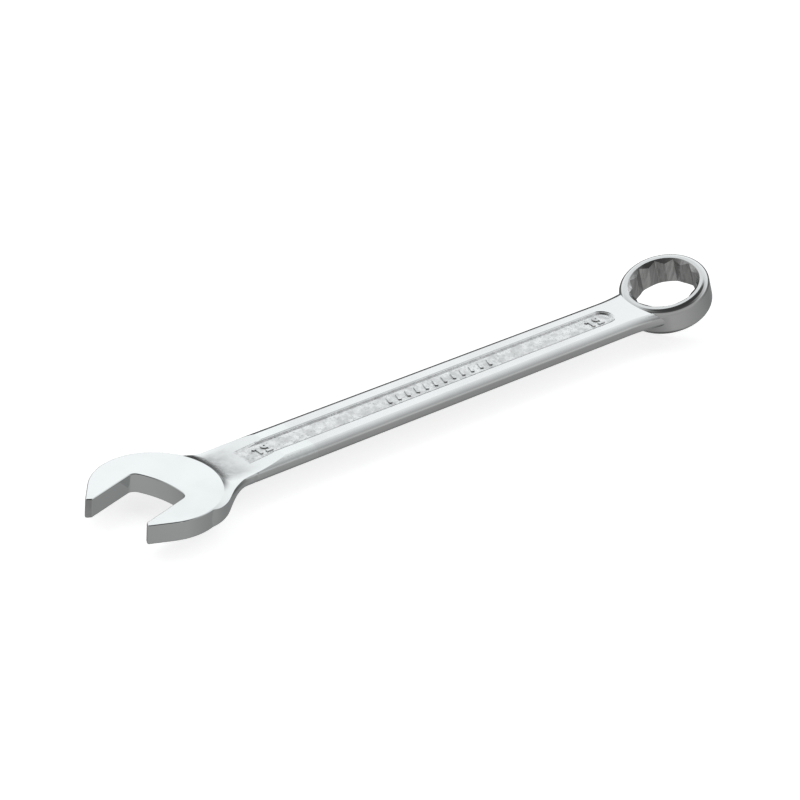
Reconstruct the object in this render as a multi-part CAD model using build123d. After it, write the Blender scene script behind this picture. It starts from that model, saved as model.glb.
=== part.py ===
from build123d import *
import math
import os

# A 19 mm combination wrench: one drop forging with an open jaw at one end and a
# twelve-point ring at the other.  The forging is written as three regions that meet
# face to face in the straight part of the shank.
#
# Working frame: origin at the centre of the open head, +X towards the ring, +Z up.
# The finished solids are moved so that the origin is under the middle of the
# wrench's bounding box, with Z = 0 at its lowest point.

# ---- driving dimensions, mm -------------------------------------------------------
NUT_SIZE = 19.0             # across the flats of the nut, at both ends
CENTRE_SPAN = 200.0         # centre of the open head to centre of the ring

HEAD_RADIUS = 19.55
HEAD_THICKNESS = 6.2
HEAD_EDGE_RADIUS = 0.4
JAW_ANGLE = 15.0            # the jaw points this far off the shank's line
JAW_CLEARANCE = 0.15        # added to the nut size between the flats
JAW_SHIFT = 0.35            # the jaw's centre line lies this far to the +Y side
THROAT_DEPTH = 3.5          # bottom of the throat behind the head's centre
THROAT_CORNER_DEPTH = 1.8
THROAT_CORNER_RADIUS = 2.4
TIP_REACH = 18.2            # along the jaw, from the head's centre
TIP_CHAMFER = 1.5           # the jaw's mouth is opened out by this much at each tip
TIP_RADIUS = 0.6

SHANK_LEVEL = 0.4           # the shank's mid-plane above the head's
SHANK_THICKNESS = 5.0       # over the rims
SHANK_HALF_WIDTH = 9.5      # over the round sides, at the reference station
SHANK_REFERENCE_X = 50.0
SHANK_TAPER = 0.0049        # loss of half-width per mm towards the ring
SIDE_ROUND = 3.1            # how far the elliptical sides reach out from the flats
FACE_CUT = 0.05             # taken off the forged faces, which leaves a crisp crease
TRIM_BLOCK = 10.0           # height of the block that trims a face flat
TOOL_MARGIN = 3.0           # cutting tools reach this far past the metal
LEVEL_TOLERANCE = 0.01      # an edge this close to a level lies in it

SCOOP_RADIUS = 11.5         # hollow behind the head's flat faces
SCOOP_ANGLE = 28.0          # slope at the edge of the flat face
SCOOP_RISE_END = 46.0       # distance from the head's centre where its tool ends,
SCOOP_RUN_OUT = 0.3         # this far clear of the shank's face
SCOOP_RUN_OUT_SLOPE = 0.06
NECK_START_X = 5.0          # the neck's first section, just inside the head
NECK_HALF = 18.85           # half-width where each side leaves the head,
LEFT_NECK_START_X = 3.0     # swinging in from here
LEFT_NECK_END_X = 23.5      # to the shank's width here
RIGHT_NECK_START_X = 7.0
RIGHT_NECK_END_X = 26.5
LEFT_NECK_ROUND = 5.0       # the left side is fully rounded,
RIGHT_NECK_ROUND = 0.4      # the right nearly upright next to the head
SIDES_TURN_X = 12.0         # both turn to the shank's roundness between here
SIDES_ROUND_X = 21.0        # and here
NECK_END_X = 30.0           # last section before the straight shank
HEAD_NECK_STATIONS = 16
HEAD_HEIGHT_X = 14.0        # the neck is as thick as the head up to here
SHANK_HEIGHT_X = 27.0       # and as thick as the shank from here on

RING_TILT = 19.0            # the ring leans back, its far side raised
RING_LEVEL = 2.62           # centre of the ring above the head's mid-plane
RING_THICKNESS = 9.75
RING_RADIUS = 14.15
RING_FACE_RADIUS = 12.3     # outer radius of the flat ring faces
RING_EDGE_DROP = 2.0
SOCKET_CLEARANCE = 0.1      # added to the nut size in the ring
SOCKET_POINT_RADIUS = 0.35
LEAD_IN_RADIUS = 11.35      # the socket's mouth is opened to this radius
LEAD_IN_DEPTH = 1.5         # and is back to the inner points at this depth
RING_FLARE_X = 178.0        # the neck widens into the ring from here
RING_FLARE_RADIUS = 60.0
RING_NECK_END_X = 193.0
RING_NECK_STATIONS = 12
KEEL_START_X = 162.0        # the underside swells down to meet the tilted ring
KEEL_END_X = 190.0
KEEL_DEPTH = 2.2
FLATTEST_KEEL = 0.01        # keeps every section of the neck the same kind

PANEL_HALF_WIDTH = 3.9      # at the face; the walls slope in by the draft
PANEL_DEPTH = 0.6
PANEL_DRAFT = 62.0
PANEL_START = 30.5
TOP_PANEL_END = 177.0
UNDER_PANEL_END = 166.0
MARK_HEIGHT = 0.3
NUMERAL_SIZE = 4.2          # height of the size marks
NUMERAL_STROKE = 0.9
NINE_LOOP = 0.29            # loop radius and digit offset, as shares of the height
DIGIT_OFFSET = 0.36
FLAG_LENGTH = 1.7           # the flag of the one
FLAG_LEAN = 40.0
HEAD_NUMERAL_X = 38.5
RING_NUMERAL_X = 169.5
UNDER_RING_NUMERAL_X = 161.6 # the keel shortens the panel underneath
TICK_COUNT = 12
TICK_FIRST_X = 87.0
TICK_STEP = 3.6
TICK_WIDTH = 1.2
TICK_LENGTH = 3.4
TICK_CORNER = 0.4
TICK_LEAN = 20.0

HEAD_SEAM_X = 52.0          # the regions meet in these planes
RING_SEAM_X = 158.0

# ---- values worked out from them --------------------------------------------------
HALF_HEAD = HEAD_THICKNESS / 2
SHANK_TOP = SHANK_LEVEL + SHANK_THICKNESS / 2
SHANK_UNDERSIDE = SHANK_LEVEL - SHANK_THICKNESS / 2
HALF_SHANK = SHANK_THICKNESS / 2
HALF_GAP = (NUT_SIZE + JAW_CLEARANCE) / 2
SCOOP_EDGE_R = HEAD_RADIUS - HEAD_EDGE_RADIUS
SCOOP_FLOOR_R = SCOOP_EDGE_R + SCOOP_RADIUS * math.sin(math.radians(SCOOP_ANGLE))
LEFT_FLAT = JAW_SHIFT + HALF_GAP
RIGHT_FLAT = JAW_SHIFT - HALF_GAP


# ---- outline of the open head -----------------------------------------------------
def jaw_point(reach, side):
    """Point in the plan: reach along the jaw, side to its left."""
    angle = math.radians(JAW_ANGLE)
    x = -math.cos(angle) * reach - math.sin(angle) * side
    y = -math.sin(angle) * reach + math.cos(angle) * side
    return (x, y)


def on_head(angle_deg):
    """Point on the head's round outline."""
    angle = math.radians(angle_deg)
    return (HEAD_RADIUS * math.cos(angle), HEAD_RADIUS * math.sin(angle))


def tip_tangent_angle(reach, side):
    """Plan angle at which the line to a jaw tip leaves the round outline."""
    distance = math.hypot(reach, side)
    lead = math.degrees(math.acos(HEAD_RADIUS / distance))
    direction = math.degrees(math.atan2(abs(side), reach))
    turn = direction + lead
    return 180 + JAW_ANGLE - math.copysign(turn, side)


def half_width(x):
    """Half-width over the round sides along the straight shank."""
    return SHANK_HALF_WIDTH - SHANK_TAPER * (x - SHANK_REFERENCE_X)


def smooth_step(value):
    value = min(max(value, 0.0), 1.0)
    return value * value * (3 - 2 * value)


def neck_half(x, start_x, end_x):
    """Half-width of one side of the neck, which swings in between the two stations."""
    swing = smooth_step((x - start_x) / (end_x - start_x))
    return NECK_HALF + (half_width(x) - NECK_HALF) * swing


def jaw_slot():
    """Plan face of the opening between the jaws, open past the tips."""
    beyond = HEAD_RADIUS + TOOL_MARGIN
    inner_reach = TIP_REACH - TIP_CHAMFER
    spread = beyond - inner_reach
    throat_left = jaw_point(-THROAT_CORNER_DEPTH, LEFT_FLAT)
    throat_middle = jaw_point(-THROAT_DEPTH, JAW_SHIFT)
    throat_right = jaw_point(-THROAT_CORNER_DEPTH, RIGHT_FLAT)
    mouth_left = jaw_point(inner_reach, LEFT_FLAT)
    mouth_right = jaw_point(inner_reach, RIGHT_FLAT)
    open_left = jaw_point(beyond, LEFT_FLAT + spread)
    open_right = jaw_point(beyond, RIGHT_FLAT - spread)
    edges = [
        ThreePointArc(throat_left, throat_middle, throat_right),
        Line(throat_right, mouth_right),
        Line(mouth_right, open_right),
        Line(open_right, open_left),
        Line(open_left, mouth_left),
        Line(mouth_left, throat_left),
    ]
    face = make_face(edges)
    corners = face.vertices().sort_by_distance((0, 0, 0))[:2]
    return fillet(corners, THROAT_CORNER_RADIUS)


def head_outline():
    """Plan face of the round head with the jaw cut out."""
    left_tip = (TIP_REACH, LEFT_FLAT + TIP_CHAMFER)
    right_tip = (TIP_REACH, RIGHT_FLAT - TIP_CHAMFER)
    left_angle = tip_tangent_angle(*left_tip)
    right_angle = tip_tangent_angle(*right_tip)
    mouth = jaw_point(TIP_REACH, JAW_SHIFT)
    edges = [
        ThreePointArc(on_head(right_angle), on_head(0), on_head(left_angle)),
        Line(on_head(left_angle), jaw_point(*left_tip)),
        Line(jaw_point(*left_tip), mouth),
        Line(mouth, jaw_point(*right_tip)),
        Line(jaw_point(*right_tip), on_head(right_angle)),
    ]
    face = make_face(edges) - jaw_slot()
    inner_reach = TIP_REACH - TIP_CHAMFER
    corners = [left_tip, right_tip, (inner_reach, LEFT_FLAT), (inner_reach, RIGHT_FLAT)]
    tips = [face.vertices().sort_by_distance((*jaw_point(*corner), 0))[0] for corner in corners]
    return fillet(tips, TIP_RADIUS)


def head_plate():
    """The flat plate of the head with its edges broken."""
    plate = extrude(head_outline(), amount=HALF_HEAD, both=True)
    rims = [edge for edge in plate.edges() if abs(abs(edge.center().Z) - HALF_HEAD) < LEVEL_TOLERANCE]
    return fillet(rims, HEAD_EDGE_RADIUS)


# ---- neck behind the head ---------------------------------------------------------
def section_face(x, sides, rounds, level, half_height, keel=None):
    """Section at station x: elliptical sides a little taller than the faces will be.

    sides holds the half-widths to the left and right, and rounds how far each side
    stands out from the flats.  With a keel, the underside is already at its finished
    level and swells down by that much.
    """
    ellipse = half_height + FACE_CUT
    left_round, right_round = rounds
    flat_left = sides[0] - left_round
    flat_right = right_round - sides[1]
    high = level + ellipse
    if keel is None:
        turn = 90.0
        under = Line((flat_right, level - ellipse), (flat_left, level - ellipse))
    else:
        turn = math.degrees(math.asin(half_height / ellipse))
        corner = math.cos(math.radians(turn))
        low = level - half_height
        start = (flat_right - right_round * corner, low)
        middle = ((flat_left + flat_right) / 2, low - keel)
        under = ThreePointArc(start, middle, (flat_left + left_round * corner, low))
    edges = [
        under,
        EllipticalCenterArc((flat_left, level), left_round, ellipse, -turn, arc_size=turn + 90),
        Line((flat_left, high), (flat_right, high)),
        EllipticalCenterArc((flat_right, level), right_round, ellipse, 90, arc_size=90 + turn),
    ]
    return Plane(origin=(x, 0, 0), x_dir=(0, 1, 0), z_dir=(1, 0, 0)) * make_face(edges)


def face_trim(level, start_x):
    """Tool that takes a face down to level from start_x towards the ring."""
    up = math.copysign(1.0, level - SHANK_LEVEL)
    length = CENTRE_SPAN - start_x
    block = Box(length, 3 * HEAD_RADIUS, TRIM_BLOCK)
    return Pos(start_x + length / 2, 0, level + up * TRIM_BLOCK / 2) * block


def neck_section(x):
    """Neck section before its faces are hollowed."""
    thinning = smooth_step((x - HEAD_HEIGHT_X) / (SHANK_HEIGHT_X - HEAD_HEIGHT_X))
    rounding = smooth_step((x - SIDES_TURN_X) / (SIDES_ROUND_X - SIDES_TURN_X))
    half_height = HALF_HEAD + (HALF_SHANK - HALF_HEAD) * thinning
    left = neck_half(x, LEFT_NECK_START_X, LEFT_NECK_END_X)
    right = neck_half(x, RIGHT_NECK_START_X, RIGHT_NECK_END_X)
    rounds = [near + (SIDE_ROUND - near) * rounding for near in (LEFT_NECK_ROUND, RIGHT_NECK_ROUND)]
    return section_face(x, (left, right), rounds, SHANK_LEVEL * thinning, half_height)


def face_scoop(face_level, shank_level):
    """Tool that hollows one face of the neck round the head's flat disc."""
    up = math.copysign(1.0, face_level)
    slope = math.radians(SCOOP_ANGLE)
    floor_z = face_level - up * SCOOP_RADIUS * (1 - math.cos(slope))
    half = slope / 2
    mid_r = SCOOP_FLOOR_R - SCOOP_RADIUS * math.sin(half)
    mid_z = floor_z + up * SCOOP_RADIUS * (1 - math.cos(half))
    end = (SCOOP_RISE_END, shank_level + up * SCOOP_RUN_OUT)
    clear_z = face_level + up * TOOL_MARGIN
    edges = [
        ThreePointArc((SCOOP_EDGE_R, face_level), (mid_r, mid_z), (SCOOP_FLOOR_R, floor_z)),
        Spline((SCOOP_FLOOR_R, floor_z), end, tangents=((1, 0), (1, up * SCOOP_RUN_OUT_SLOPE))),
        Line(end, (SCOOP_RISE_END, clear_z)),
        Line((SCOOP_RISE_END, clear_z), (SCOOP_EDGE_R, clear_z)),
        Line((SCOOP_EDGE_R, clear_z), (SCOOP_EDGE_R, face_level)),
    ]
    profile = Plane.XZ * make_face(edges)
    ring = revolve(profile, Axis.Z, 360)
    length = 2 * SCOOP_RISE_END
    keep = Box(length, 3 * SCOOP_RISE_END, 4 * HEAD_THICKNESS)
    return ring & Pos(NECK_START_X - 1 + length / 2, 0, 0) * keep


def open_end_body():
    """Head, neck and the first stretch of shank."""
    step = (NECK_END_X - NECK_START_X) / HEAD_NECK_STATIONS
    neck = loft([neck_section(NECK_START_X + step * index) for index in range(HEAD_NECK_STATIONS + 1)])
    straight = loft([neck_section(NECK_END_X), neck_section(HEAD_SEAM_X)], ruled=True)
    neck = neck + straight
    for up in (1, -1):
        neck = neck - face_trim(up * HALF_HEAD, NECK_START_X)
        neck = neck - face_trim(SHANK_LEVEL + up * HALF_SHANK, SCOOP_FLOOR_R)
    body = head_plate() + neck
    body = body - face_scoop(HALF_HEAD, SHANK_TOP)
    return body - face_scoop(-HALF_HEAD, SHANK_UNDERSIDE)


# ---- shank ------------------------------------------------------------------------
def shank_section(x, flare=0.0, keel=None):
    """Shank section at station x, wider by flare on each side."""
    half = half_width(x) + flare
    return section_face(x, (half, half), (SIDE_ROUND, SIDE_ROUND), SHANK_LEVEL, HALF_SHANK, keel)


def shank_body():
    bar = loft([shank_section(HEAD_SEAM_X), shank_section(RING_SEAM_X)], ruled=True)
    for level in (SHANK_TOP, SHANK_UNDERSIDE):
        bar = bar - face_trim(level, NECK_START_X)
    return bar


# ---- ring -------------------------------------------------------------------------
def ring_flare(x):
    """How much the neck has widened at station x on its way into the ring."""
    run = max(x - RING_FLARE_X, 0.0)
    return RING_FLARE_RADIUS - math.sqrt(RING_FLARE_RADIUS**2 - run**2)


def ring_plane():
    """Frame of the ring: origin in its centre, Z along the socket's axis."""
    tilt = math.radians(RING_TILT)
    return Plane(
        origin=(CENTRE_SPAN, 0, RING_LEVEL),
        x_dir=(math.cos(tilt), 0, math.sin(tilt)),
        z_dir=(-math.sin(tilt), 0, math.cos(tilt)),
    )


def ring_blank():
    """Round outside of the ring, solid in the middle, about its own Z."""
    half = RING_THICKNESS / 2
    shoulder = half - RING_EDGE_DROP
    bend = math.radians(45)
    mid_r = RING_FACE_RADIUS + (RING_RADIUS - RING_FACE_RADIUS) * math.sin(bend)
    mid_z = shoulder + RING_EDGE_DROP * math.cos(bend)
    edges = [
        Line((0, -half), (RING_FACE_RADIUS, -half)),
        ThreePointArc((RING_FACE_RADIUS, -half), (mid_r, -mid_z), (RING_RADIUS, -shoulder)),
        Line((RING_RADIUS, -shoulder), (RING_RADIUS, shoulder)),
        ThreePointArc((RING_RADIUS, shoulder), (mid_r, mid_z), (RING_FACE_RADIUS, half)),
        Line((RING_FACE_RADIUS, half), (0, half)),
        Line((0, half), (0, -half)),
    ]
    return revolve(Plane.XZ * make_face(edges), Axis.Z, 360)


def socket_tool():
    """Twelve-point broach with a lead-in cone at each face."""
    hexagon_r = (NUT_SIZE + SOCKET_CLEARANCE) / 2 / math.cos(math.radians(30))
    points = RegularPolygon(hexagon_r, 6) + RegularPolygon(hexagon_r, 6, rotation=30)
    between = (hexagon_r + NUT_SIZE / 2) / 2
    tips = [corner for corner in points.vertices() if math.hypot(corner.X, corner.Y) > between]
    points = fillet(tips, SOCKET_POINT_RADIUS)
    tool = extrude(points, amount=RING_THICKNESS / 2 + TOOL_MARGIN, both=True)
    widening = LEAD_IN_RADIUS - NUT_SIZE / 2
    for turn in (0, 180):
        cone = Cone(LEAD_IN_RADIUS - widening, LEAD_IN_RADIUS + widening, 2 * LEAD_IN_DEPTH)
        tool += Rot(turn, 0, 0) * Pos(0, 0, RING_THICKNESS / 2) * cone
    return tool


def ring_end_body():
    """Last stretch of shank, neck and ring."""
    sections = []
    for index in range(RING_NECK_STATIONS + 1):
        x = RING_SEAM_X + (RING_NECK_END_X - RING_SEAM_X) * index / RING_NECK_STATIONS
        keel = FLATTEST_KEEL + KEEL_DEPTH * smooth_step((x - KEEL_START_X) / (KEEL_END_X - KEEL_START_X))
        sections.append(shank_section(x, ring_flare(x), keel))
    neck = loft(sections) - face_trim(SHANK_TOP, NECK_START_X)
    blank = ring_plane().location * ring_blank()
    return (neck + blank) - ring_plane().location * socket_tool()


# ---- panels and marks -------------------------------------------------------------
def panel_tool(face_level, end_x):
    """Pocket with round ends and sloping walls, sunk in one face of the shank."""
    up = math.copysign(1.0, face_level - SHANK_LEVEL)
    outline = SlotOverall(end_x - PANEL_START, 2 * PANEL_HALF_WIDTH)
    pocket = extrude(outline, amount=PANEL_DEPTH, taper=PANEL_DRAFT) + extrude(outline, amount=-TOOL_MARGIN)
    turn = Rot(180, 0, 0) if up > 0 else Rot(0, 0, 0)
    return Pos((PANEL_START + end_x) / 2, 0, face_level) * turn * pocket


def numeral_nineteen():
    """Plan of the size numerals, centred, reading along +X."""
    size = NUMERAL_SIZE
    stroke = NUMERAL_STROKE
    loop_r = size * NINE_LOOP
    gap = size * DIGIT_OFFSET
    one = Pos(-gap, 0) * Rectangle(stroke, size)
    flag = Rot(0, 0, FLAG_LEAN) * Rectangle(FLAG_LENGTH, stroke)
    flag = Pos(-gap - FLAG_LENGTH / 3, size / 2 - stroke) * flag
    loop = Pos(gap, size / 2 - loop_r) * (Circle(loop_r) - Circle(loop_r - stroke))
    stem_height = size - loop_r
    stem = Pos(gap + loop_r - stroke / 2, (stem_height - size) / 2) * Rectangle(stroke, stem_height)
    foot = Pos(gap - stroke / 3, -size / 2 + stroke / 2) * Rectangle(2 * loop_r - stroke, stroke)
    return one + flag + loop + stem + foot


def marks(face_level):
    """Raised marks on the floor of a panel, by node: the size at each end, ticks between."""
    up = math.copysign(1.0, face_level - SHANK_LEVEL)
    floor = face_level - up * PANEL_DEPTH
    turn = Rot(0, 0, 0) if up > 0 else Rot(180, 0, 0)
    numeral = turn * numeral_nineteen()
    ring_x = RING_NUMERAL_X if up > 0 else UNDER_RING_NUMERAL_X
    plans = {
        "open_end": [Pos(HEAD_NUMERAL_X, 0, floor) * numeral],
        "shank": [],
        "ring_end": [Pos(ring_x, 0, floor) * numeral],
    }
    for index in range(TICK_COUNT):
        tick = Rot(0, 0, -TICK_LEAN) * RectangleRounded(TICK_WIDTH, TICK_LENGTH, TICK_CORNER)
        plans["shank"].append(Pos(TICK_FIRST_X + TICK_STEP * index, 0, floor) * turn * tick)
    return {name: [extrude(plan, amount=MARK_HEIGHT) for plan in flat] for name, flat in plans.items()}


# ---- assembly ---------------------------------------------------------------------
def build():
    pockets = panel_tool(SHANK_TOP, TOP_PANEL_END) + panel_tool(SHANK_UNDERSIDE, UNDER_PANEL_END)
    nodes = {
        "open_end": open_end_body() - pockets,
        "shank": shank_body() - pockets,
        "ring_end": ring_end_body() - pockets,
    }
    for level in (SHANK_TOP, SHANK_UNDERSIDE):
        for name, raised in marks(level).items():
            for mark in raised:
                nodes[name] = nodes[name] + mark
    return nodes


def main():
    nodes = build()
    boxes = [node.bounding_box() for node in nodes.values()]
    middle_x = (min(b.min.X for b in boxes) + max(b.max.X for b in boxes)) / 2
    middle_y = (min(b.min.Y for b in boxes) + max(b.max.Y for b in boxes)) / 2
    lowest_z = min(b.min.Z for b in boxes)
    os.makedirs("parts", exist_ok=True)
    for name, node in nodes.items():
        placed = Pos(-middle_x, -middle_y, -lowest_z) * node
        export_step(placed, os.path.join("parts", name + ".step"))
        print(name, placed.volume, placed.bounding_box())
    print("shift", middle_x, middle_y, lowest_z)


main()
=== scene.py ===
import math

import bpy
from mathutils import Matrix, Vector


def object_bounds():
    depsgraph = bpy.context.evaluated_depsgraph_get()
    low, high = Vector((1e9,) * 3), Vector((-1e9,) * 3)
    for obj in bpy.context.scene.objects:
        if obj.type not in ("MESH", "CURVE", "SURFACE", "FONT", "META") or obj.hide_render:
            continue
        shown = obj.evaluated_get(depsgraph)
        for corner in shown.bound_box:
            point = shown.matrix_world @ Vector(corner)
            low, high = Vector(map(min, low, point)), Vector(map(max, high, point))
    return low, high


# Looks for the 19 mm combination wrench.  The three CAD nodes are shown as they are and
# get chrome materials; the floor, the studio dome and the camera are the only other
# things here.  Metres, Z up, wrench along X with the open head at -X.

MM = 0.001

# ---- camera -----------------------------------------------------------------------
CAMERA_AZIMUTH = 42.65         # degrees from +Y towards +X that the camera looks along
CAMERA_ELEVATION = 30.09       # degrees above the floor
CAMERA_ROLL = 3.82             # degrees, the picture's lean
CAMERA_DISTANCE = 1.3024       # metres to the point aimed at
CAMERA_LENS = 198.0            # mm on a 36 mm sensor
SENSOR_WIDTH = 36.0
CAMERA_CLIP = (0.05, 20.0)     # metres
AIM_FROM_CENTRE = Vector((-0.00461, 0.00129, -0.00262))

# ---- light ------------------------------------------------------------------------
FLOOR_HALF = 3.0
DOME_STRENGTH = 2.0
LIGHT_AZIMUTH = CAMERA_AZIMUTH # the bright side of the dome is behind the wrench
LIGHT_SPREAD = (-0.45, 0.86)   # cosines off that azimuth where the dark and bright sides are full
# Brightness of the studio dome by elevation in degrees, as a share of DOME_STRENGTH:
# towards the light, and away from it.  Between the two it changes evenly.
LIGHT_SIDE = (
    (-90.0, 0.05),
    (-50.0, 0.12),
    (-25.0, 0.15),
    (-12.0, 0.05),
    (8.0, 0.05),
    (20.0, 0.72),
    (55.0, 0.74),
    (63.0, 0.06),
    (90.0, 0.03),
)
DARK_SIDE = (
    (-90.0, 0.05),
    (-50.0, 0.25),
    (-25.0, 0.225),
    (-12.0, 0.25),
    (8.0, 0.26),
    (25.0, 0.24),
    (38.0, 0.05),
    (90.0, 0.03),
)
LIGHT_TINT = (0.975, 0.99, 1.0)
DARK_TINT = (1.0, 1.0, 0.985)
BACKDROP = (1.0, 1.0, 1.0, 1.0)
FLOOR_GLOW = 0.70              # lifts the floor to the pale ground of a product picture
FLOOR_ROUGHNESS = 0.9
FLOOR_COLOURS = ((0.88, 0.88, 0.88, 1.0), (0.90, 0.90, 0.90, 1.0))
FLOOR_CLOUD = (3.0, 2.0, 0.5)  # features per metre, detail and roughness of its noise

# ---- places on the wrench ---------------------------------------------------------
HEAD_CENTRE_X = -97.123 * MM
HEAD_MIDDLE_Z = 6.075 * MM     # mid-plane of the head above the floor
HEAD_HALF_THICKNESS = 3.1 * MM
HEAD_RADIUS = 19.2 * MM        # of the flat faces
SHANK_MIDDLE_Z = 6.475 * MM    # mid-plane of the shank above the floor
SHANK_HALF_THICKNESS = 2.5 * MM
PANEL_HALF_WIDTH = 3.9 * MM    # the sunk panels of the shank
PANEL_START = 30.5 * MM        # their ends, from the head's centre
PANEL_END = 177.0 * MM
RING_CENTRE = (102.877 * MM, 0.0, 8.695 * MM)
RING_TILT = 19.0               # degrees
BORE_RADIUS = 11.15 * MM       # just outside the socket's points

# ---- where one finish gives way to the next ---------------------------------------
PANEL_DEPTH_FADE = (0.10 * MM, 0.25 * MM)  # the panel's satin starts this far down
PANEL_SIDE_FADE = 0.2 * MM                 # and ends over this width at its sides
PANEL_END_FADE = 1.0 * MM                  # and over this length at its ends
NECK_FADE = (22.0 * MM, 36.0 * MM)         # the neck's satin and its painted shade fade out along the shank
NECK_SIDE_FADE = (5.5 * MM, 9.0 * MM)      # and towards its sides
NECK_EDGE_FADE = (0.05 * MM, 0.6 * MM)     # and starts this far off the flat faces' edge
NECK_DEPTH_FADE = (0.05 * MM, 0.3 * MM)    # and this far below them
BORE_FADE = 0.1 * MM                       # outside the bore's radius

# ---- steel ------------------------------------------------------------------------
HEAD_COLOUR = (0.615, 0.635, 0.635, 1.0)
SHANK_COLOUR = (0.59, 0.60, 0.60, 1.0)
PANEL_COLOUR = (0.62, 0.63, 0.63, 1.0)
# Painted shade: the neck's colour is darker than the head's, so that the hollow behind the head looks
# shaded.
NECK_PAINTED_SHADE_COLOUR = (0.43, 0.44, 0.44, 1.0)
BORE_COLOUR = (0.48, 0.48, 0.48, 1.0)
# Darkest patches, as a share of the finish's colour.
CLOUD_SHADE = 0.95
MOTTLE_SHADE = 0.86
SPECK_SHADE = 0.6
BROACH_SHADE = 0.7
# Noises that the finishes are made from: features per metre, detail and roughness.
CLOUD = (60.0, 3.0, 0.5)       # slow unevenness of the polish
RIPPLE = (220.0, 2.0, 0.4)     # slow waves in the polish
BLOTCHES = (420.0, 3.0, 0.6)   # patches of the satin
GRAIN = (1500.0, 4.0, 0.7)     # forging grain of the satin
# Drawn-out noises: features per metre along X, Y and Z, then detail and roughness.
SCRATCHES_LONG = (60.0, 2600.0, 2600.0)
SCRATCHES_SHORT = (2600.0, 90.0, 2600.0)
SCRATCH_TURNS = (0.35, 0.9)    # radians, one for each of the two
SCRATCH_NOISE = (2.0, 0.5)
BROACH_STREAKS = (900.0, 900.0, 60.0)
BROACH_NOISE = (3.0, 0.6)
# Values of those noises between which each effect goes from none to full.
NOISE_RANGE = (0.3, 0.7)       # most of what a noise gives
CLOUD_RANGE = (0.35, 0.7)
PATCH_RANGE = (0.35, 0.65)
SPECK_RANGE = (0.54, 0.66)
SCRATCH_RANGE = (0.55, 0.75)
BREAK_RANGE = (0.40, 0.60)     # breaks in the scratches
BREAK_LEAST = 0.2              # what is left of a scratch in a break
# Roughness where each finish is smoothest and roughest.
POLISH_ROUGHNESS = (0.08, 0.13)
SCRATCH_ROUGHNESS = 0.10       # added in a scratch
NECK_ROUGHNESS = (0.16, 0.24)
PANEL_ROUGHNESS = (0.24, 0.40)
BORE_ROUGHNESS = (0.18, 0.30)
# Strength and height of the bumps.
RIPPLE_BUMP = (0.06, 0.10 * MM)
SCRATCH_BUMP = (0.15, 0.01 * MM)
GRAIN_BUMP = (0.6, 0.10 * MM)


def math_node(tree, operation, first, second=None):
    """A Math node; first and second are sockets or numbers."""
    node = tree.nodes.new("ShaderNodeMath")
    node.operation = operation
    for socket, value in zip(node.inputs, (first, second)):
        if value is None:
            continue
        if isinstance(value, (int, float)):
            socket.default_value = value
        else:
            tree.links.new(value, socket)
    return node.outputs[0]


def length(tree, first, second):
    """Length of the vector whose two parts are given."""
    squares = [math_node(tree, "POWER", part, 2.0) for part in (first, second)]
    return math_node(tree, "SQRT", math_node(tree, "ADD", *squares))


def remap(tree, value, low, high, to_low=0.0, to_high=1.0, smooth=True):
    """Value taken from low..high to to_low..to_high, and held there beyond them."""
    node = tree.nodes.new("ShaderNodeMapRange")
    node.interpolation_type = "SMOOTHSTEP" if smooth else "LINEAR"
    node.inputs["From Min"].default_value = low
    node.inputs["From Max"].default_value = high
    node.inputs["To Min"].default_value = to_low
    node.inputs["To Max"].default_value = to_high
    tree.links.new(value, node.inputs["Value"])
    return node.outputs["Result"]


def noise(tree, vector, scale, detail, roughness):
    node = tree.nodes.new("ShaderNodeTexNoise")
    node.inputs["Scale"].default_value = scale
    node.inputs["Detail"].default_value = detail
    node.inputs["Roughness"].default_value = roughness
    tree.links.new(vector, node.inputs["Vector"])
    return node.outputs["Fac"]


def stretched_noise(tree, vector, scales, detail, roughness, turn=0.0):
    """Noise with its own scale along X, Y and Z.

    The turn about Z, in radians, comes after the scaling, so it changes the pattern and
    not the way it is drawn out.
    """
    node = tree.nodes.new("ShaderNodeMapping")
    node.inputs["Scale"].default_value = scales
    node.inputs["Rotation"].default_value = (0.0, 0.0, turn)
    tree.links.new(vector, node.inputs["Vector"])
    return noise(tree, node.outputs["Vector"], 1.0, detail, roughness)


def mix_float(tree, factor, first, second):
    """Mix of two sockets; inputs 2 and 3 of a Mix node are its numbers."""
    node = tree.nodes.new("ShaderNodeMix")
    node.data_type = "FLOAT"
    tree.links.new(factor, node.inputs[0])
    tree.links.new(first, node.inputs[2])
    tree.links.new(second, node.inputs[3])
    return node.outputs[0]


def mix_colour(tree, factor, first, second):
    """Mix of two colours or sockets; inputs 6 and 7 of a Mix node are its colours."""
    node = tree.nodes.new("ShaderNodeMix")
    node.data_type = "RGBA"
    tree.links.new(factor, node.inputs[0])
    for socket, value in ((node.inputs[6], first), (node.inputs[7], second)):
        if isinstance(value, tuple):
            socket.default_value = value
        else:
            tree.links.new(value, socket)
    return node.outputs[2]


def bump(tree, height, strength, distance, normal=None):
    """Normal tilted by a height map, on top of normal if there is one."""
    node = tree.nodes.new("ShaderNodeBump")
    node.inputs["Strength"].default_value = strength
    node.inputs["Distance"].default_value = distance
    tree.links.new(height, node.inputs["Height"])
    if normal is not None:
        tree.links.new(normal, node.inputs["Normal"])
    return node.outputs["Normal"]


def new_material(name):
    """A new material with a Principled shader: the material, its tree and the shader."""
    material = bpy.data.materials.new(name)
    material.use_nodes = True
    tree = material.node_tree
    tree.nodes.clear()
    output = tree.nodes.new("ShaderNodeOutputMaterial")
    shader = tree.nodes.new("ShaderNodeBsdfPrincipled")
    tree.links.new(shader.outputs["BSDF"], output.inputs["Surface"])
    return material, tree, shader


def shaded(colour, factor):
    """The colour made darker by factor, opaque as before."""
    return tuple(c * factor for c in colour[:3]) + (1.0,)


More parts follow.
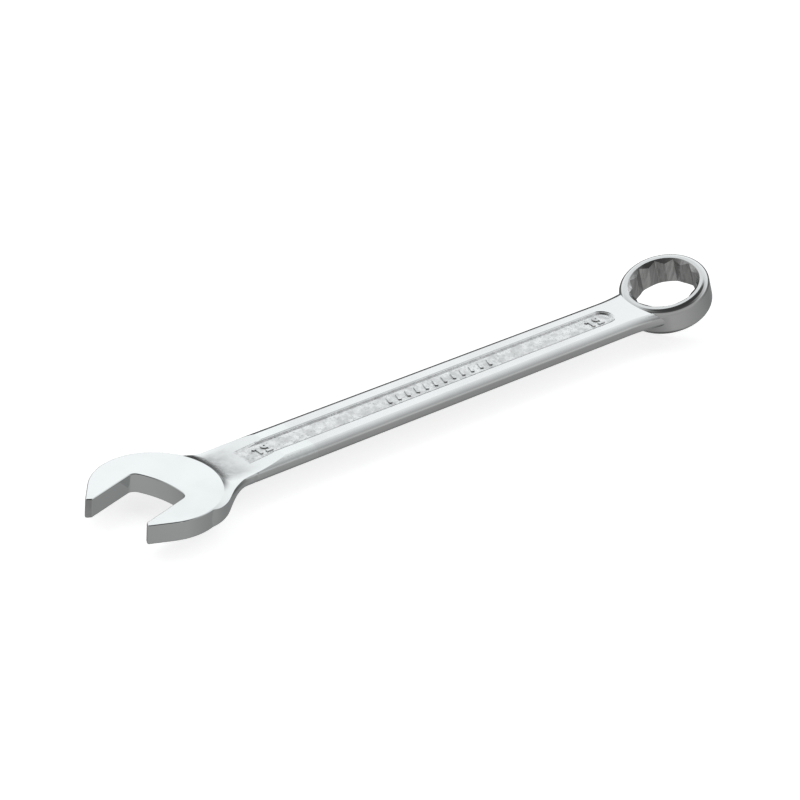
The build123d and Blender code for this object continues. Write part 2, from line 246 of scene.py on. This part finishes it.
def two_shades(tree, factor, colour, share):
    """Mix from the colour itself to its darker shade."""
    return mix_colour(tree, factor, colour, shaded(colour, share))


def panel_mask(tree, place):
    """1 on the sunk panel floors of the shank, 0 elsewhere."""
    parts = tree.nodes.new("ShaderNodeSeparateXYZ")
    tree.links.new(place, parts.inputs[0])
    across = math_node(tree, "ABSOLUTE", parts.outputs["Y"])
    height = math_node(tree, "ABSOLUTE", math_node(tree, "SUBTRACT", parts.outputs["Z"], SHANK_MIDDLE_Z))
    inside = remap(tree, across, PANEL_HALF_WIDTH, PANEL_HALF_WIDTH - PANEL_SIDE_FADE)
    shallow, deep = (SHANK_HALF_THICKNESS - depth for depth in PANEL_DEPTH_FADE)
    sunk = remap(tree, height, shallow, deep)
    along = math_node(tree, "SUBTRACT", parts.outputs["X"], HEAD_CENTRE_X)
    started = remap(tree, along, PANEL_START, PANEL_START + PANEL_END_FADE)
    going = remap(tree, along, PANEL_END, PANEL_END + PANEL_END_FADE, 1.0, 0.0)
    mask = math_node(tree, "MULTIPLY", inside, sunk)
    return math_node(tree, "MULTIPLY", mask, math_node(tree, "MULTIPLY", started, going))


def neck_satin_and_shade_mask(tree, place):
    """1 in the hollow behind the head's flat faces, fading out along the shank: where the neck's satin
    and its painted shade lie.
    """
    parts = tree.nodes.new("ShaderNodeSeparateXYZ")
    tree.links.new(place, parts.inputs[0])
    along = math_node(tree, "SUBTRACT", parts.outputs["X"], HEAD_CENTRE_X)
    radius = length(tree, along, parts.outputs["Y"])
    height = math_node(tree, "ABSOLUTE", math_node(tree, "SUBTRACT", parts.outputs["Z"], HEAD_MIDDLE_Z))
    shallow, deep = (HEAD_HALF_THICKNESS - depth for depth in NECK_DEPTH_FADE)
    sunk = remap(tree, height, shallow, deep)
    near, far = (HEAD_RADIUS + distance for distance in NECK_EDGE_FADE)
    behind = remap(tree, radius, near, far)
    before = remap(tree, along, *NECK_FADE, 1.0, 0.0)
    across = math_node(tree, "ABSOLUTE", parts.outputs["Y"])
    inner = remap(tree, across, *NECK_SIDE_FADE, 1.0, 0.0)
    mask = math_node(tree, "MULTIPLY", sunk, behind)
    return math_node(tree, "MULTIPLY", mask, math_node(tree, "MULTIPLY", before, inner))


def bore_mask(tree, place):
    """1 on the walls of the ring's socket, 0 elsewhere."""
    axis = tree.nodes.new("ShaderNodeMapping")
    axis.vector_type = "TEXTURE"
    axis.inputs["Location"].default_value = RING_CENTRE
    axis.inputs["Rotation"].default_value = (0.0, -math.radians(RING_TILT), 0.0)
    tree.links.new(place, axis.inputs["Vector"])
    parts = tree.nodes.new("ShaderNodeSeparateXYZ")
    tree.links.new(axis.outputs["Vector"], parts.inputs[0])
    radius = length(tree, parts.outputs["X"], parts.outputs["Y"])
    return remap(tree, radius, BORE_RADIUS + BORE_FADE, BORE_RADIUS)


def polish(tree, place, base):
    """Colour, roughness and normal of polished plate with slow ripple and fine scratches."""
    cloud = noise(tree, place, *CLOUD)
    long_turn, short_turn = SCRATCH_TURNS
    along = stretched_noise(tree, place, SCRATCHES_LONG, *SCRATCH_NOISE, long_turn)
    broken = stretched_noise(tree, place, SCRATCHES_SHORT, *SCRATCH_NOISE, short_turn)
    lines = remap(tree, along, *SCRATCH_RANGE)
    kept = remap(tree, broken, *BREAK_RANGE, BREAK_LEAST, 1.0)
    scratches = math_node(tree, "MULTIPLY", lines, kept)
    rough = remap(tree, cloud, *NOISE_RANGE, *POLISH_ROUGHNESS)
    rough = math_node(tree, "ADD", rough, math_node(tree, "MULTIPLY", scratches, SCRATCH_ROUGHNESS))
    colour = two_shades(tree, remap(tree, cloud, *CLOUD_RANGE), base, CLOUD_SHADE)
    normal = bump(tree, noise(tree, place, *RIPPLE), *RIPPLE_BUMP)
    normal = bump(tree, scratches, *SCRATCH_BUMP, normal)
    return colour, rough, normal


def satin_and_neck_shade(tree, place, colour, rough, normal):
    """Lays satin with forging grain over the hollow neck and the panel floors, and painted shade on the
    neck: a darker colour there, fading out along the shank.
    """
    panel = panel_mask(tree, place)
    neck_satin_and_shade = neck_satin_and_shade_mask(tree, place)
    either = math_node(tree, "MAXIMUM", panel, neck_satin_and_shade)
    grain = noise(tree, place, *GRAIN)
    blotches = noise(tree, place, *BLOTCHES)
    rough = mix_float(tree, either, rough, remap(tree, blotches, *NOISE_RANGE, *NECK_ROUGHNESS))
    rough = mix_float(tree, panel, rough, remap(tree, blotches, *NOISE_RANGE, *PANEL_ROUGHNESS))
    patches = remap(tree, blotches, *PATCH_RANGE)
    specks = remap(tree, grain, *SPECK_RANGE)
    # Painted shade: the neck takes the darker colour, fading out along the shank and towards its sides.
    colour = mix_colour(tree, neck_satin_and_shade, colour, two_shades(tree, patches, NECK_PAINTED_SHADE_COLOUR, MOTTLE_SHADE))
    panel_floor = two_shades(tree, patches, PANEL_COLOUR, MOTTLE_SHADE)
    panel_floor = mix_colour(tree, specks, panel_floor, shaded(PANEL_COLOUR, SPECK_SHADE))
    colour = mix_colour(tree, panel, colour, panel_floor)
    height_map = math_node(tree, "MULTIPLY", either, math_node(tree, "ADD", grain, blotches))
    return colour, rough, bump(tree, height_map, *GRAIN_BUMP, normal)


def broached(tree, place, colour, rough):
    """Lays the broach's streaks over the walls of the socket."""
    bore = bore_mask(tree, place)
    streaks = stretched_noise(tree, place, BROACH_STREAKS, *BROACH_NOISE)
    streaked = two_shades(tree, remap(tree, streaks, *PATCH_RANGE), BORE_COLOUR, BROACH_SHADE)
    colour = mix_colour(tree, bore, colour, streaked)
    rough = mix_float(tree, bore, rough, remap(tree, streaks, *NOISE_RANGE, *BORE_ROUGHNESS))
    return colour, rough


def chrome(name, base, with_bore=False):
    """Nickel-chrome plate over a forging, with the satin parts, the painted shade of the hollow neck
    and, if asked, the socket.
    """
    material, tree, shader = new_material(name)
    shader.inputs["Metallic"].default_value = 1.0
    place = tree.nodes.new("ShaderNodeTexCoord").outputs["Object"]
    colour, rough, normal = polish(tree, place, base)
    colour, rough, normal = satin_and_neck_shade(tree, place, colour, rough, normal)
    if with_bore:
        colour, rough = broached(tree, place, colour, rough)
    tree.links.new(colour, shader.inputs["Base Color"])
    tree.links.new(rough, shader.inputs["Roughness"])
    tree.links.new(normal, shader.inputs["Normal"])
    return material


def floor_material():
    """Matt white with some light of its own, so that it shows as pale ground."""
    material, tree, shader = new_material("studio_floor")
    place = tree.nodes.new("ShaderNodeTexCoord").outputs["Object"]
    cloud = noise(tree, place, *FLOOR_CLOUD)
    colour = mix_colour(tree, cloud, *FLOOR_COLOURS)
    tree.links.new(colour, shader.inputs["Base Color"])
    shader.inputs["Roughness"].default_value = FLOOR_ROUGHNESS
    shader.inputs["Emission Color"].default_value = (1.0, 1.0, 1.0, 1.0)
    shader.inputs["Emission Strength"].default_value = FLOOR_GLOW
    return material


def make_floor():
    """A square floor at the origin's height, which the steel doesn't reflect."""
    mesh = bpy.data.meshes.new("floor")
    corners = [(-FLOOR_HALF, -FLOOR_HALF, 0), (FLOOR_HALF, -FLOOR_HALF, 0),
               (FLOOR_HALF, FLOOR_HALF, 0), (-FLOOR_HALF, FLOOR_HALF, 0)]
    mesh.from_pydata(corners, [], [(0, 1, 2, 3)])
    floor = bpy.data.objects.new("floor", mesh)
    bpy.context.scene.collection.objects.link(floor)
    mesh.materials.append(floor_material())
    floor.visible_glossy = False


def direction(azimuth, elevation):
    """Unit vector pointing up at elevation, towards azimuth measured from +Y to +X."""
    a = math.radians(azimuth)
    e = math.radians(elevation)
    return Vector((math.sin(a) * math.cos(e), math.cos(a) * math.cos(e), math.sin(e)))


def dome_ramp(tree, height, bands, tint):
    """Colour ramp over the sine of the elevation."""
    ramp = tree.nodes.new("ShaderNodeValToRGB")
    tree.links.new(height, ramp.inputs["Fac"])
    stops = ramp.color_ramp.elements
    while len(stops) < len(bands):
        stops.new(0.5)
    for stop, (elevation, brightness) in zip(stops, bands):
        stop.position = (math.sin(math.radians(elevation)) + 1) / 2
        stop.color = tuple(c * brightness for c in tint) + (1.0,)
    return ramp.outputs["Color"]


def make_world():
    """A studio dome, bright behind the wrench; the camera sees plain white in its place."""
    world = bpy.data.worlds.new("studio")
    world.use_nodes = True
    tree = world.node_tree
    tree.nodes.clear()
    output = tree.nodes.new("ShaderNodeOutputWorld")
    way = tree.nodes.new("ShaderNodeTexCoord").outputs["Generated"]
    parts = tree.nodes.new("ShaderNodeSeparateXYZ")
    tree.links.new(way, parts.inputs[0])
    height = remap(tree, parts.outputs["Z"], -1.0, 1.0, smooth=False)
    towards = tree.nodes.new("ShaderNodeVectorMath")
    towards.operation = "DOT_PRODUCT"
    tree.links.new(way, towards.inputs[0])
    towards.inputs[1].default_value = direction(LIGHT_AZIMUTH, 0.0)
    side = remap(tree, towards.outputs["Value"], *LIGHT_SPREAD, smooth=False)
    light = dome_ramp(tree, height, LIGHT_SIDE, LIGHT_TINT)
    dark = dome_ramp(tree, height, DARK_SIDE, DARK_TINT)
    dome = tree.nodes.new("ShaderNodeBackground")
    tree.links.new(mix_colour(tree, side, dark, light), dome.inputs["Color"])
    dome.inputs["Strength"].default_value = DOME_STRENGTH
    backdrop = tree.nodes.new("ShaderNodeBackground")
    backdrop.inputs["Color"].default_value = BACKDROP
    seen = tree.nodes.new("ShaderNodeLightPath").outputs["Is Camera Ray"]
    mix = tree.nodes.new("ShaderNodeMixShader")
    tree.links.new(seen, mix.inputs["Fac"])
    tree.links.new(dome.outputs["Background"], mix.inputs[1])
    tree.links.new(backdrop.outputs["Background"], mix.inputs[2])
    tree.links.new(mix.outputs["Shader"], output.inputs["Surface"])
    bpy.context.scene.world = world


def make_camera(centre):
    """A long lens, aimed near the centre of the wrench and leaning a little."""
    data = bpy.data.cameras.new("camera")
    data.lens = CAMERA_LENS
    data.sensor_width = SENSOR_WIDTH
    data.clip_start, data.clip_end = CAMERA_CLIP
    camera = bpy.data.objects.new("camera", data)
    bpy.context.scene.collection.objects.link(camera)
    back = -direction(CAMERA_AZIMUTH, -CAMERA_ELEVATION)
    upright = back.to_track_quat("Z", "Y").to_matrix()
    roll = Matrix.Rotation(math.radians(CAMERA_ROLL), 3, "Z")
    camera.matrix_world = (
        Matrix.Translation(centre + AIM_FROM_CENTRE + back * CAMERA_DISTANCE)
        @ (upright @ roll).to_4x4()
    )
    bpy.context.scene.camera = camera


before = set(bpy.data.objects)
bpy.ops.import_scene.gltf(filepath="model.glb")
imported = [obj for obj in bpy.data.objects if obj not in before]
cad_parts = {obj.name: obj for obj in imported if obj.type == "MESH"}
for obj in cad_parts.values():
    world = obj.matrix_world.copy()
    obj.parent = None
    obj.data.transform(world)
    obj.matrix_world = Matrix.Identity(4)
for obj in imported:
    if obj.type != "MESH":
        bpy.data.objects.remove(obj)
cad_low, cad_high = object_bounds()
centre = (cad_low + cad_high) / 2

STEEL = {
    "open_end": chrome("head_chrome", HEAD_COLOUR),
    "shank": chrome("shank_chrome", SHANK_COLOUR),
    "ring_end": chrome("ring_chrome", SHANK_COLOUR, with_bore=True),
}
for node_name, material in STEEL.items():
    for material_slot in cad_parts[node_name].material_slots:
        material_slot.material = material

make_floor()
make_world()
make_camera(centre)

bpy.context.scene.view_settings.view_transform = "Standard"
